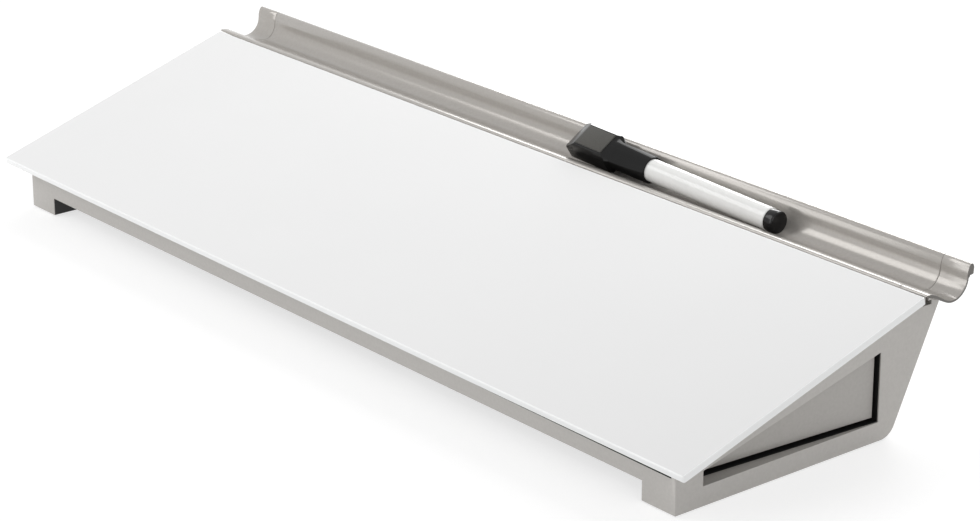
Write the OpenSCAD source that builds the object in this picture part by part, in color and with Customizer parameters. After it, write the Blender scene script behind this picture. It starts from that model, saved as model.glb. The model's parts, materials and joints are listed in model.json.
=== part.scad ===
// Magnetic desk whiteboard easel: a sloped glass board backed with steel sheet on a
// moulded wedge base, with a slide-out drawer in its right side, a pen tray along the
// back and a capped marker lying in the tray.
// +X runs along the board to the drawer's side, +Y to the back and +Z up. The origin
// is on the desk, under the middle of the whole easel.

/* [Board] */
// Width of the glass board
board_w = 458; // [420:1:500]
// Length of the glass board down its slope
board_d = 128; // [120:1:140]
// Thickness of the glass
board_t = 3; // [2:0.5:4]
// Radius of the glass's four corners
board_corner_r = 1; // [1:0.5:8]
// Width of the ground arris along the glass's edges
board_arris = 0.4; // [0.2:0.1:0.8]
// Slope of the board, degrees from the desk
board_tilt = 17; // [16:0.25:19]
// Height of the board's front top edge above the underside of the runners
board_front_h = 21.7; // [21:0.1:25]

/* [Backing] */
// Bare glass left round the steel sheet
steel_margin = 4; // [2:0.5:6]
// Thickness of the steel sheet that holds magnets
steel_t = 0.5; // [0.3:0.1:0.8]
// Thickness of the mounting tape between steel and deck
tape_t = 1; // [0.5:0.1:1.5]
// Width of one strip of mounting tape
tape_w = 15; // [10:1:25]
// Number of strips of mounting tape
tape_count = 3; // [2:1:4]

/* [Base] */
// How far the glass overhangs the base at each side
side_overhang = 11.3; // [6:0.1:15]
// How far the base stands back from the glass's front edge
front_setback = 7.4; // [4:0.1:10]
// Depth of the shadow gap along the top of the front apron
shadow_gap_d = 1.2; // [0.6:0.1:1.4]
// Height of the shadow gap at its left end, below the deck's edge
shadow_gap_left = 3; // [2:0.1:4]
// Height of the shadow gap at its right end, below the deck's edge
shadow_gap_right = 5.1; // [4:0.1:6]
// How far the base's heel stands in front of the glass's back edge
heel_setback = 4.4; // [-2:0.1:7.8]
// Lean of the rear wall, degrees from upright
rear_lean = 25.6; // [23:0.1:28]
// Radius of the side walls' lower rear corner
rear_corner_r = 8; // [3:0.5:9]
// Thickness of the outer walls
wall = 2.5; // [1.8:0.1:3]
// Thickness of the deck under the board
deck_t = 2.2; // [1.5:0.1:2.5]
// Width of each side runner
runner_w = 18; // [16:0.5:22]
// Height of the runners, which is the gap under the front apron
runner_h = 8; // [7:0.1:9]
// Thickness of the walls and roof of a runner
runner_wall = 2; // [1.5:0.1:2.5]
// Thickness of the soles that close the runners
sole_t = 2; // [1.5:0.1:2.5]
// Thickness of the bottom cover
cover_t = 2; // [1.8:0.1:2.5]
// Step of the bottom cover above the apron's lower edge
cover_step = 0.4; // [0:0.1:0.8]
// Thickness of the ribs under the deck
rib_t = 2; // [1.2:0.1:3]

/* [Feet] */
// Length of one rubber foot
foot_l = 22; // [14:1:30]
// Width of one rubber foot
foot_w = 9; // [6:0.5:11]
// Thickness of one rubber foot
foot_t = 1.6; // [1.2:0.1:2]
// How far the rubber feet stand out below the runners
foot_proud = 0.6; // [0.4:0.1:1]
// Distance from the end of a sole to its rubber foot
foot_inset = 5; // [3:0.5:12]

/* [Pen tray] */
// How far the tray stands out past the glass at each side
tray_overhang = 0.2; // [0:0.1:4]
// Length of each end piece of the tray
tray_end_l = 13.7; // [12.5:0.1:22]
// Thickness of the tray's wall
tray_t = 1.7; // [1.4:0.1:2.2]
// Gap between the glass's back edge and the tray's lip
tray_gap = 0.3; // [0.2:0.1:1]
// Height of the tray's front lip above the glass's back edge
tray_lip_h = 1.1; // [0.6:0.1:1.6]
// Width of the tray's mouth, from its front lip to its back edge
tray_mouth = 21.5; // [21:0.1:24]
// Height of the tray's back edge above its front lip
tray_back_h = 7.2; // [6.5:0.1:9]
// Slope of the tray's front face, degrees down from the desk's plane
tray_slope = 24; // [21:0.5:26]
// Lean of the tray's back wall, degrees from upright
tray_lean = 5; // [2:0.5:8]
// Inside radius of the tray's trough
tray_r = 7.5; // [7:0.1:8]
// Thickness of the bead along the tray's back edge
rim_t = 3.8; // [2.4:0.1:4.4]
// Height of the bead along the tray's back edge
rim_h = 4.3; // [4:0.1:5]
// Width of the keel that holds the tray in the base
keel_w = 5; // [4:0.1:7]
// Thickness of the keel's web and foot
keel_t = 1.4; // [1.2:0.1:1.8]
// Depth of the keel below the trough
keel_h = 3.4; // [3:0.1:4.5]
// Length of keel on each end piece
end_keel_l = 32; // [26:1:50]

/* [Drawer] */
// Distance from the base's front face to the drawer opening
opening_front = 13.6; // [13:0.1:16]
// Distance from the drawer opening to the back of the runner
opening_rear = 6.9; // [6.5:0.1:9]
// Wall left above the opening at its front end, measured from the deck's top
opening_top_front = 9.3; // [7:0.1:9.5]
// Wall left above the opening at its rear end, measured from the deck's top
opening_top_rear = 14.6; // [10:0.1:18]
// Depth of the drawer front below the side wall, at its front end
recess_front = 8; // [5:0.1:9]
// Depth of the drawer front below the side wall, at its rear end
recess_rear = 1.8; // [0.5:0.1:3]
// Thickness of the drawer front
panel_t = 2.5; // [2:0.1:3]
// Gap below the drawer front
panel_gap_low = 1.6; // [0.5:0.1:2.2]
// Gap behind the drawer front
panel_gap_rear = 1.5; // [0.6:0.1:2]
// Gap in front of and above the drawer front
panel_gap = 0.5; // [0.3:0.1:0.8]
// Length of the drawer's tub
tub_l = 190; // [175:1:200]
// Thickness of the tub's walls and floor
tub_t = 1.6; // [1.2:0.1:2]
// How far the drawer slides out
drawer_travel = 150; // [120:1:155]

/* [Guides and screws] */
// Height of the guide rails
rail_h = 4.6; // [4:0.1:5]
// Thickness of the guide rails
rail_t = 1.4; // [1:0.1:1.6]
// Width of the guide rails' foot
rail_foot = 4.8; // [4.7:0.1:5]
// Shank radius of the cover screws
screw_r = 1.45; // [1.2:0.05:1.6]
// Head radius of the cover screws
screw_head_r = 2.7; // [2.4:0.1:2.9]
// Shank radius of the small screws in the rails and the drawer front
small_screw_r = 0.95; // [0.8:0.05:1.1]
// Head radius of the small screws
small_head_r = 1.6; // [1.4:0.05:1.6]

/* [Marker] */
// Distance of the marker's plug end from the middle of the tray
marker_x = 137; // [110:0.5:180]
// Length of the capped marker
marker_l = 122; // [115:1:135]
// Outer radius of the barrel
barrel_r = 4.9; // [4.5:0.1:5.2]
// Wall of the barrel
barrel_t = 0.9; // [0.7:0.1:1.2]
// Outer radius of the cap's sleeve
cap_r = 5.9; // [5.6:0.1:6.1]
// Length of the cap's sleeve outside its block
sleeve_l = 21.5; // [17:0.5:23]
// Length of the eraser block on the cap
block_l = 26; // [25:0.5:30]
// Width of the eraser block across its pad
block_w = 14; // [12.6:0.1:14]
// Height of the eraser block's pad face above the marker's axis
block_top = 5.9; // [5.2:0.1:6]
// Depth of the eraser block below the marker's axis
block_low = 4.6; // [4:0.1:4.8]
// Length of the slope at the closed end of the eraser block
block_slope = 6.5; // [4:0.5:7]
// Bevel along the eraser block's edges
block_bevel = 1.3; // [1.2:0.1:2]
// Turn of the eraser block about the marker's axis, degrees
block_turn = 33; // [26:1:36]
// Drop of the marker from its cap end to its plug end, degrees
marker_tilt = 1.9; // [1.7:0.1:2.2]
// Thickness of the felt pad
pad_t = 1.9; // [1.5:0.1:2.5]

/* [Hidden] */
$fn = 48;

// Clearances: parts that only lie side by side, a push fit, and a sliding fit
fit_gap = 0.15;
push_gap = 0.05;
slide_gap = 0.4;
eps = 0.01;
beyond = 300;

// Board and deck, seen from the side. y is measured from the glass's front top edge
// and z from the underside of the runners.
base_w = board_w - 2 * side_overhang;
stack_t = board_t + steel_t + tape_t;
function slope_z(y) = board_front_h + y * tan(board_tilt);
function deck_z(y) = slope_z(y) - stack_t / cos(board_tilt);
function ceiling_z(y) = deck_z(y) - deck_t / cos(board_tilt);
glass_back = [board_d * cos(board_tilt) + board_t * sin(board_tilt),
              board_front_h + board_d * sin(board_tilt) - board_t * cos(board_tilt)];
glass_back_top_z = board_front_h + board_d * sin(board_tilt);

// Pen tray: a sloped front face and a leaning back wall, both tangent to the trough. Its
// lip is round and stands tray_gap behind the glass's back face.
front_n = [sin(tray_slope), cos(tray_slope)];
lip_r = tray_t / 2;
lip_mid_h = tray_lip_h - lip_r * front_n.y;
lip = [board_d * cos(board_tilt) + lip_r * front_n.x
       + (tray_gap + lip_r - lip_mid_h * sin(board_tilt)) / cos(board_tilt),
       glass_back_top_z + tray_lip_h];
crest = lip + [tray_mouth, tray_back_h];
back_n = [-cos(tray_lean), sin(tray_lean)];
function meet(n1, d1, n2, d2) =
    [d1 * n2.y - d2 * n1.y, d2 * n1.x - d1 * n2.x] / (n1.x * n2.y - n2.x * n1.y);
trough = meet(front_n, lip * front_n + tray_r, back_n, crest * back_n + tray_r);
trough_low_z = trough.y - tray_r - tray_t;
tray_half = board_w / 2 + tray_overhang;
tray_seam_x = tray_half - tray_end_l;
rim_mid = crest - (back_n + [sin(tray_lean), cos(tray_lean)]) * rim_t / 2;
total_d = rim_mid.x + rim_t / 2;

// Base: the rear wall runs from the runner's heel to a ledge behind the tray
heel_y = glass_back.x - heel_setback;
foot_depth = heel_y - front_setback;
ledge_z = trough_low_z + 0.8;
rear_run = tan(rear_lean);
ledge_rear = heel_y + ledge_z * rear_run;
function rear_y(z) = heel_y + z * rear_run;
function rear_in_y(z) = rear_y(z) - wall * sqrt(1 + rear_run * rear_run);
front_in_y = front_setback + wall;
roof_z = trough_low_z - fit_gap - 2.2;
roof_y = (roof_z - ceiling_z(0)) / tan(board_tilt);
runner_in_x = base_w / 2 - runner_w;
cradle_front = glass_back.x + 0.3;

// Keel and its slot
keel_y = trough.x - 1.5;
keel_z = trough_low_z - keel_h;
slot_wall = 2;
beam_y = keel_y - keel_w / 2 - slot_wall;
beam_z = keel_z - slot_wall;

// Bottom cover and its screws
cover_z = runner_h + cover_step;
cover_top = cover_z + cover_t;
boss_r = 3.2;
boss_y = [front_in_y + boss_r + 0.1, rear_y(cover_z) - screw_head_r - 1.6];
boss_x = [for (i = [0 : 3]) (2 * i - 3) * (runner_in_x - 20) / 3];
screw_bite = 6;
sink_t = 1.2;

// Drawer opening, drawer front and tub, seen from the side
open_y0 = front_setback + opening_front;
open_y1 = heel_y - opening_rear;
open_z0 = runner_h;
open_z1 = deck_z(open_y0) - opening_top_front;
open_z2 = deck_z(open_y1) - opening_top_rear;
function roofline(y) = open_z1 + (y - open_y0) * (open_z2 - open_z1) / (open_y1 - open_y0);
jamb_t = 2;
panel_y0 = open_y0 + panel_gap;
panel_y1 = open_y1 - panel_gap_rear;
tub_y0 = panel_y0 + 0.7;
tub_y1 = panel_y1 - 0.8;
tub_z = cover_top + 0.2;
panel_run = (recess_front - recess_rear) / (panel_y1 - panel_y0);
function face_x(y) = base_w / 2 - recess_front + (y - panel_y0) * panel_run;
panel_turn = atan(panel_run);
tub_x0 = face_x(tub_y0) - panel_t - tub_l;
tub_top_gap = 0.8;
ear = [3, open_y1 + jamb_t - tub_y1 - 0.5, 5];
ear_z = cover_top + rail_h + 1.2;
stop_x = tub_x0 + ear.x + drawer_travel;
stop_screw_gap = small_head_r + 4.4;
rail_x0 = tub_x0 - 4;
rail_x1 = runner_in_x - fit_gap;
rail_y0 = tub_y0 - slide_gap;
rail_y1 = tub_y1 + slide_gap;
// the rear rail's last screw stands clear of the stop, whose own screw holds that end
rail_screw_x0 = rail_x0 + 9;
rail_screw_x1 = [rail_x1 - 9, stop_x - stop_screw_gap];
function rail_screw_x(rail) =
    [for (i = [0 : 2]) rail_screw_x0 + i * (rail_screw_x1[rail] - rail_screw_x0) / 2];
rail_screw_y = [rail_y0 - (rail_foot + rail_t) / 2, rail_y1 + (rail_foot + rail_t) / 2];
rail_screw_places = [for (rail = [0, 1], x = rail_screw_x(rail)) [x, rail_screw_y[rail]]];
panel_screw_y = [tub_y0 + 0.38 * (tub_y1 - tub_y0), tub_y1 - 14];

// Marker, drawn along +X with its cap end at 0 and its plug end at marker_l
plug_l = 4.8;
sleeve_end = block_l + sleeve_l;
barrel_start = sleeve_end - 13;
barrel_in_r = barrel_r - barrel_t;
holder_start = barrel_start - 8;
nib_start = holder_start - 4.5;
nib_r = 1.4;
cap_bore_end = nib_start - 2;
marker_rest = [marker_x, trough.x - 0.5, trough.y - tray_r + barrel_r + 0.3];
block_slope_2 = block_slope / 2.5;
block_corner = 1.2;
sleeve_start = block_l - block_slope_2 - 2;
pad_x = block_slope + 0.3;
pad_l = block_l - block_slope - block_slope_2 - 0.6;
pad_w = block_w - 2 * block_bevel - 1.2;
pad_sink = 1.3;
magnet_r = 2.5;
magnet_t = 2.5;
magnet_drop = 0.8;

// Moves a piece from the side view's datum to the easel's own origin
module place() { translate([0, -total_d / 2, foot_proud]) children(); }

// Extrudes a side view, drawn as [y, z], along X from x0 to x1
module along_x(x0, x1) {
    translate([x0, 0, 0]) rotate([90, 0, 90]) linear_extrude(x1 - x0) children();
}

// A frame that lies on the board's slope, a given depth below the glass's face
module on_slope(depth) {
    translate([0, 0, board_front_h]) rotate([board_tilt, 0, 0])
        translate([0, 0, -depth]) children();
}

module rounded(w, d, r) {
    translate([r - w / 2, 0]) square([w - 2 * r, d]);
    translate([-w / 2, r]) square([w, d - 2 * r]);
    for (x = [r - w / 2, w / 2 - r], y = [r, d - r]) translate([x, y]) circle(r);
}

// What a corner loses when it is rounded: a and b run from the corner along its sides
module corner_cut(corner, a, b, r) {
    half = acos((a * b) / (norm(a) * norm(b))) / 2;
    ua = a / norm(a);
    ub = b / norm(b);
    run = r / tan(half);
    difference() {
        polygon([corner - (ua + ub) * eps, corner + ua * run, corner + ub * run]);
        translate(corner + (ua + ub) / norm(ua + ub) * r / sin(half)) circle(r);
    }
}

// The tray's section, grown by g all round its outside
module tray_band(g) {
    r_out = tray_r + tray_t + g;
    r_in = tray_r;
    reach = norm(crest - lip) * 2;
    difference() {
        translate(trough) circle(r_out);
        translate(trough) circle(r_in);
        // keeps the stretch of the ring between the two tangent points
        translate(trough) rotate(-tray_slope) translate([-reach, -reach])
            square([reach, 2 * reach]);
        translate(trough) rotate(90 - tray_lean) translate([0, -reach]) square(reach * 2);
    }
    front_run = (trough - lip) * [cos(tray_slope), -sin(tray_slope)];
    translate(lip) rotate(-tray_slope) translate([0, -tray_t - g])
        square([front_run + eps, tray_t + g]);
    back_run = (crest - trough) * [sin(tray_lean), cos(tray_lean)];
    translate(crest) rotate(90 - tray_lean) translate([-back_run - eps, -tray_t - g])
        square([back_run + eps - rim_t / 2, tray_t + g]);
}

module tray_section() {
    tray_band(0);
    translate(lip - front_n * lip_r) circle(lip_r);
    translate(rim_mid) circle(rim_t / 2);
    translate(rim_mid) rotate(90 - tray_lean) translate([rim_t / 2 - rim_h, -rim_t / 2])
        square([rim_h - rim_t / 2, rim_t]);
}

// T-shaped keel under the trough; g grows it into the slot that takes it
module keel_section(g) {
    translate([keel_y - keel_t / 2 - g, keel_z]) square([keel_t + 2 * g, keel_h + tray_t / 2]);
    translate([keel_y - keel_w / 2 - g, keel_z - g]) square([keel_w + 2 * g, keel_t + 2 * g]);
}

// Side view of the base, solid
module housing_outline() {
    heel = [heel_y, 0];
    difference() {
        polygon([[front_setback, 0], heel, [ledge_rear, ledge_z], [trough.x, ledge_z],
                 [cradle_front, slope_z(cradle_front) - 1.4 / cos(board_tilt)],
                 [cradle_front, deck_z(cradle_front)],
                 [front_setback, deck_z(front_setback)]]);
        tray_band(fit_gap);
        translate(trough) circle(tray_r + tray_t + fit_gap);
        translate(lip) rotate(-tray_slope) translate([-tray_t, -tray_t - fit_gap])
            square([tray_mouth, tray_mouth]);
        corner_cut(heel, [-1, 0], [rear_run, 1], rear_corner_r);
    }
}

// Side view of the space inside the base, open below
module hollow_outline(low = -1) {
    polygon([[front_in_y, low], [front_in_y, ceiling_z(front_in_y)], [roof_y, roof_z],
             [rear_in_y(roof_z), roof_z], [rear_in_y(low), low]]);
}

module opening_outline(g = 0, drop = 0) {
    polygon([[open_y0 - g, open_z0 - drop], [open_y1 + g, open_z0 - drop],
             [open_y1 + g, roofline(open_y1 + g) + g], [open_y0 - g, roofline(open_y0 - g) + g]]);
}

// The block under one runner, and the pocket that its sole closes
module runner(side) {
    x0 = side > 0 ? runner_in_x : -base_w / 2;
    intersection() {
        along_x(x0, x0 + runner_w) housing_outline();
        translate([-beyond, 0, 0]) cube([2 * beyond, beyond, runner_h]);
    }
}

// Front view of what the shadow gap takes off the apron, between the side walls
module shadow_gap() {
    x = base_w / 2 - wall;
    top = deck_z(front_setback);
    translate([0, front_setback + shadow_gap_d, 0]) rotate([90, 0, 0])
        linear_extrude(shadow_gap_d + 1)
            polygon([[-x, top - shadow_gap_left], [x, top - shadow_gap_right],
                     [x, top + 1], [-x, top + 1]]);
}

function pocket_x0(side) = side > 0 ? runner_in_x + runner_wall : wall - base_w / 2;
pocket_w = runner_w - wall - runner_wall;
pocket_l = foot_depth - wall - rear_corner_r - 2;

module runner_pocket(side, g) {
    translate([pocket_x0(side) + g, front_in_y + g, -1])
        cube([pocket_w - 2 * g, pocket_l - 2 * g, runner_h - runner_wall + 1]);
}

module rib(x) {
    along_x(x - rib_t / 2, x + rib_t / 2) difference() {
        polygon([[front_in_y - eps, cover_top + 0.5],
                 [front_in_y - eps, ceiling_z(front_in_y) + eps],
                 [roof_y, roof_z + eps], [rear_in_y(roof_z) + eps, roof_z + eps],
                 [rear_in_y(cover_top) + eps, cover_top + 0.5]]);
        // ribs on the drawer's side stop above the drawer and its rails
        if (x > tub_x0 - 15)
            polygon([[0, -1], [open_y1 + jamb_t + 2.4, -1],
                     [open_y1 + jamb_t + 2.4, roofline(open_y1) + 2.2],
                     [0, roofline(0) + 2.2]]);
    }
}

rib_pitch = 40;
rib_count = floor((runner_in_x - 6) / rib_pitch);

module bosses() {
    for (x = boss_x, i = [0, 1]) {
        top = i == 0 ? ceiling_z(boss_y[0]) + deck_t / 2 : roof_z + deck_t / 2;
        translate([x, boss_y[i], cover_top]) cylinder(h = top - cover_top, r = boss_r);
    }
}

module base_housing() {
    color("#BDBAB4") place() difference() {
        union() {
            difference() {
                along_x(-base_w / 2, base_w / 2) housing_outline();
                along_x(wall - base_w / 2, base_w / 2 - wall) hollow_outline();
                // between the runners the apron ends above the desk, and the rear wall
                // ends on the cover
                translate([-runner_in_x, 0, -1]) cube([2 * runner_in_x, beyond, runner_h + 1]);
                translate([-runner_in_x, foot_depth / 2, -1])
                    cube([2 * runner_in_x, beyond, cover_top + 1]);
            }
            for (side = [-1, 1]) runner(side);
            along_x(runner_in_x, base_w / 2 - wall / 2) opening_outline(jamb_t);
            for (i = [-rib_count : rib_count]) rib(i * rib_pitch);
            bosses();
            // the beam that holds the tray's keel
            along_x(-base_w / 2 + wall / 2, base_w / 2 - wall / 2)
                polygon([[beam_y, beam_z], [rear_in_y(beam_z) + eps, beam_z],
                         [rear_in_y(roof_z) + eps, roof_z + eps], [beam_y, roof_z + eps]]);
        }
        along_x(runner_in_x - 1, base_w / 2 + 1) opening_outline();
        for (side = [-1, 1]) runner_pocket(side, 0);
        shadow_gap();
        along_x(-beyond, beyond) keel_section(fit_gap);
        for (x = boss_x, y = boss_y) translate([x, y, cover_top - 1])
            cylinder(h = screw_bite + 1.8, r = screw_r + push_gap);
        for (side = [-1, 1]) translate([side * lock_x, keel_y, beam_z - 1])
            cylinder(h = slot_wall + 1, r = lock_r + push_gap);
    }
}

lock_r = 1.5;
lock_x = tray_seam_x - end_keel_l / 2;

module tray_lock_screws() {
    color("#77787A") place() for (side = [-1, 1])
        translate([side * lock_x, keel_y, beam_z - 1.2]) difference() {
            cylinder(h = slot_wall + 1.2 - fit_gap, r = lock_r);
            translate([0, 0, -1]) cylinder(h = 2.2, r = 0.8, $fn = 6);
        }
}

// Half of the glass's edge, seen along the edge: half_w from its middle to its outside
module glass_edge(half_w) {
    polygon([[0, 0], [half_w - board_arris, 0], [half_w, board_arris],
             [half_w, board_t - board_arris], [half_w - board_arris, board_t], [0, board_t]]);
}

module glass_panel() {
    r = board_corner_r;
    color("#F4F6F5") place() on_slope(board_t) translate([0, board_d / 2, 0]) {
        for (a = [0, 180]) rotate(a) {
            translate([r - board_w / 2, 0, 0]) rotate([90, 0, 90])
                linear_extrude(board_w - 2 * r) glass_edge(board_d / 2);
            translate([0, board_d / 2 - r, 0]) rotate([90, 0, 0])
                linear_extrude(board_d - 2 * r) glass_edge(board_w / 2);
        }
        for (x = [r - board_w / 2, board_w / 2 - r], y = [r - board_d / 2, board_d / 2 - r])
            translate([x, y, 0]) rotate_extrude() glass_edge(r);
    }
}

module steel_backing_sheet() {
    color("#C9CCCE") place() on_slope(board_t + steel_t)
        translate([0, steel_margin, 0]) linear_extrude(steel_t)
            rounded(board_w - 2 * steel_margin, board_d - 2 * steel_margin, board_corner_r);
}

module mounting_tape() {
    first = front_setback + wall + 2;
    last = board_d - steel_margin - tape_w - 4;
    color("#E4E2DC") place() on_slope(stack_t) for (i = [0 : tape_count - 1])
        translate([8 - base_w / 2, first + i * (last - first) / (tape_count - 1), 0])
            cube([base_w - 16, tape_w, tape_t]);
}

module runner_sole(side) {
    x_mid = pocket_x0(side) + pocket_w / 2;
    color("#2B2A29") place() difference() {
        intersection() {
            runner_pocket(side, fit_gap);
            translate([-beyond, 0, 0]) cube([2 * beyond, beyond, sole_t]);
        }
        for (y = foot_y) translate([x_mid, y - fit_gap, -1])
            linear_extrude(foot_t - foot_proud + 1)
                rounded(foot_w + 2 * fit_gap, foot_l + 2 * fit_gap, foot_w / 3);
    }
}

foot_y = [front_in_y + foot_inset, front_in_y + pocket_l - foot_inset - foot_l];

module rubber_feet() {
    color("#3A3A3C") place() for (side = [-1, 1], y = foot_y)
        translate([pocket_x0(side) + pocket_w / 2, y, -foot_proud])
            linear_extrude(foot_t) rounded(foot_w, foot_l, foot_w / 3);
}

module cover_screw_hole() {
    translate([0, 0, -eps]) cylinder(h = cover_t + 1, r = screw_r + 0.2);
    translate([0, 0, -eps]) cylinder(h = sink_t + fit_gap, r1 = screw_head_r + fit_gap,
                                     r2 = screw_r + fit_gap);
}

module bottom_cover() {
    y0 = front_in_y + fit_gap;
    y1 = rear_y(cover_z) - fit_gap;
    color("#2B2A29") place() difference() {
        translate([fit_gap - runner_in_x, y0, cover_z])
            cube([2 * (runner_in_x - fit_gap), y1 - y0, cover_t]);
        for (x = boss_x, y = boss_y) translate([x, y, cover_z]) cover_screw_hole();
        for (p = rail_screw_places) translate([p.x, p.y, cover_z - 1])
            cylinder(h = cover_t + 2, r = small_screw_r + push_gap);
        translate([stop_x + stop_l / 2, stop_screw_y, cover_z - 1])
            cylinder(h = cover_t + 2, r = small_screw_r + push_gap);
    }
}

// Countersunk screw with a cross recess, head at z = 0 and shank up
module screw(r, head_r, head_t, length) {
    difference() {
        union() {
            cylinder(h = head_t, r1 = head_r, r2 = r);
            cylinder(h = length, r = r);
        }
        for (a = [0, 90]) rotate(a) translate([-head_r * 0.6, -0.3, -1])
            cube([head_r * 1.2, 0.6, 1 + head_t * 0.5]);
    }
}

module cover_screws() {
    color("#77787A") place() for (x = boss_x, y = boss_y)
        translate([x, y, cover_z]) screw(screw_r, screw_head_r, sink_t, cover_t + screw_bite);
}

module pen_tray() {
    color("#C2BFB9") place() {
        along_x(-tray_seam_x, tray_seam_x) tray_section();
        along_x(end_keel_l - tray_seam_x + fit_gap, tray_seam_x - end_keel_l - fit_gap)
            keel_section(0);
    }
}

module tray_end(side) {
    color("#BDBAB4") place() mirror([side > 0 ? 0 : 1, 0, 0]) {
        along_x(tray_seam_x + 0.1, tray_half) tray_section();
        difference() {
            along_x(tray_seam_x - end_keel_l, base_w / 2) keel_section(0);
            // the keel passes under the tray without touching it
            along_x(0, tray_seam_x + 0.1) translate(trough)
                circle(tray_r + tray_t + fit_gap);
        }
    }
}

// L-shaped rail; its web stands beside the drawer and its foot points away from it
module guide_rail(web_y, dir) {
    y0 = dir > 0 ? web_y : web_y - rail_foot;
    y_web = dir > 0 ? web_y : web_y - rail_t;
    difference() {
        union() {
            translate([rail_x0, y0, cover_top]) cube([rail_x1 - rail_x0, rail_foot, rail_t]);
            translate([rail_x0, y_web, cover_top]) cube([rail_x1 - rail_x0, rail_t, rail_h]);
        }
        for (x = rail_screw_x(dir > 0 ? 1 : 0))
            translate([x, web_y + dir * (rail_foot + rail_t) / 2, 0])
                cylinder(h = beyond, r = small_screw_r + push_gap);
        if (dir > 0) translate([stop_x + stop_l / 2, stop_screw_y, 0])
            cylinder(h = beyond, r = small_screw_r + push_gap);
    }
}

stop_l = 9;
stop_screw_y = rail_screw_y[1];
stop_w = rail_foot - rail_t - 0.2;

module front_guide_rail() { color("#E8E6E0") place() guide_rail(rail_y0, -1); }

module rear_guide_rail() { color("#E8E6E0") place() guide_rail(rail_y1, 1); }

// Small screw with a flat cheese head, head up at z = 0 and shank down
module small_screw(length) {
    head_t = 0.9;
    difference() {
        union() {
            cylinder(h = head_t, r = small_head_r);
            translate([0, 0, -length]) cylinder(h = length + eps, r = small_screw_r);
        }
        translate([-small_head_r, -0.2, head_t - 0.4]) cube([2 * small_head_r, 0.4, 1]);
    }
}

module rail_screws() {
    color("#77787A") place() {
        for (p = rail_screw_places)
            translate([p.x, p.y, cover_top + rail_t]) small_screw(cover_t + rail_t);
        translate([stop_x + stop_l / 2, stop_screw_y, cover_top + rail_t + stop_low])
            small_screw(cover_t + rail_t + stop_low);
    }
}

stop_low = 1.6;

// Stop block: a low foot with its screw, and a post that catches the drawer's ear
module drawer_stop() {
    y0 = rail_y1 + rail_t + 0.1;
    color("#E8E6E0") place() translate([stop_x, y0, cover_top + rail_t]) difference() {
        union() {
            cube([stop_l, stop_w, stop_low]);
            cube([stop_l / 4, stop_w, ear_z + ear.z - cover_top - rail_t]);
        }
        translate([stop_l / 2, stop_screw_y - y0, -1])
            cylinder(h = stop_low + 2, r = small_screw_r + push_gap);
    }
}

// Plan view of the drawer up to a line that lies g behind the drawer front's face
module behind_face(x0, g) {
    skew = g / cos(panel_turn);
    polygon([[x0, -beyond], [face_x(-beyond) - skew, -beyond],
             [face_x(beyond) - skew, beyond], [x0, beyond]]);
}

module panel_screw_places() {
    for (y = panel_screw_y) {
        z = (tub_z + tub_t + roofline(y) - tub_top_gap) / 2;
        translate([face_x(y), y, z]) rotate([0, 0, -panel_turn])
            translate([-panel_t - tub_t, 0, 0]) rotate([0, -90, 0]) children();
    }
}

module drawer_tub() {
    color("#2B2A29") place() difference() {
        union() {
            intersection() {
                along_x(tub_x0, beyond) polygon([[tub_y0, tub_z], [tub_y1, tub_z],
                    [tub_y1, roofline(tub_y1) - tub_top_gap],
                    [tub_y0, roofline(tub_y0) - tub_top_gap]]);
                linear_extrude(beyond) behind_face(tub_x0, panel_t);
            }
            translate([tub_x0, tub_y1 - tub_t, ear_z]) cube([ear.x, tub_t + ear.y, ear.z]);
        }
        intersection() {
            along_x(tub_x0 + tub_t, beyond) translate([tub_y0 + tub_t, tub_z + tub_t])
                square([tub_y1 - tub_y0 - 2 * tub_t, beyond]);
            linear_extrude(beyond) behind_face(tub_x0 + tub_t, panel_t + tub_t);
        }
        panel_screw_places() translate([0, 0, -tub_t - 1])
            cylinder(h = tub_t + 2, r = small_screw_r + push_gap);
    }
}

module drawer_front() {
    color("#B4B1AB") place() difference() {
        intersection() {
            along_x(0, beyond) polygon([[panel_y0, open_z0 + panel_gap_low],
                [panel_y1, open_z0 + panel_gap_low],
                [panel_y1, roofline(panel_y1) - panel_gap],
                [panel_y0, roofline(panel_y0) - panel_gap]]);
            difference() {
                linear_extrude(beyond) behind_face(0, 0);
                translate([0, 0, -1]) linear_extrude(beyond + 2) behind_face(-1, panel_t);
            }
        }
        panel_screw_places() translate([0, 0, 0.8 - tub_t - panel_t])
            cylinder(h = tub_t + panel_t, r = small_screw_r + push_gap);
    }
}

module drawer_front_screws() {
    color("#77787A") place() panel_screw_places() small_screw(tub_t + panel_t - 1);
}

// Puts the marker in the tray: cap end raised, block turned about the marker's axis
module in_tray() {
    place() translate(marker_rest) rotate([0, marker_tilt, 0])
        translate([-marker_l, 0, 0]) rotate([block_turn, 0, 0]) children();
}

// A turned piece along +X, from a list of [x, radius] points
module turned(points) {
    rotate([0, 90, 0]) rotate_extrude()
        polygon([[0, points[0].x], for (p = points) [p.y, p.x],
                 [0, points[len(points) - 1].x]]);
}

module tube(x0, x1, r) { translate([x0, 0, 0]) rotate([0, 90, 0]) cylinder(h = x1 - x0, r = r); }

module marker_barrel() {
    color("#F5F5F3") in_tray() difference() {
        turned([[barrel_start, barrel_r - 0.3], [barrel_start + 0.3, barrel_r],
                [marker_l - plug_l - 0.3, barrel_r], [marker_l - plug_l, barrel_r - 0.3]]);
        tube(barrel_start - 1, marker_l, barrel_in_r);
    }
}

plug_r = barrel_r - 0.15;

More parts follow.
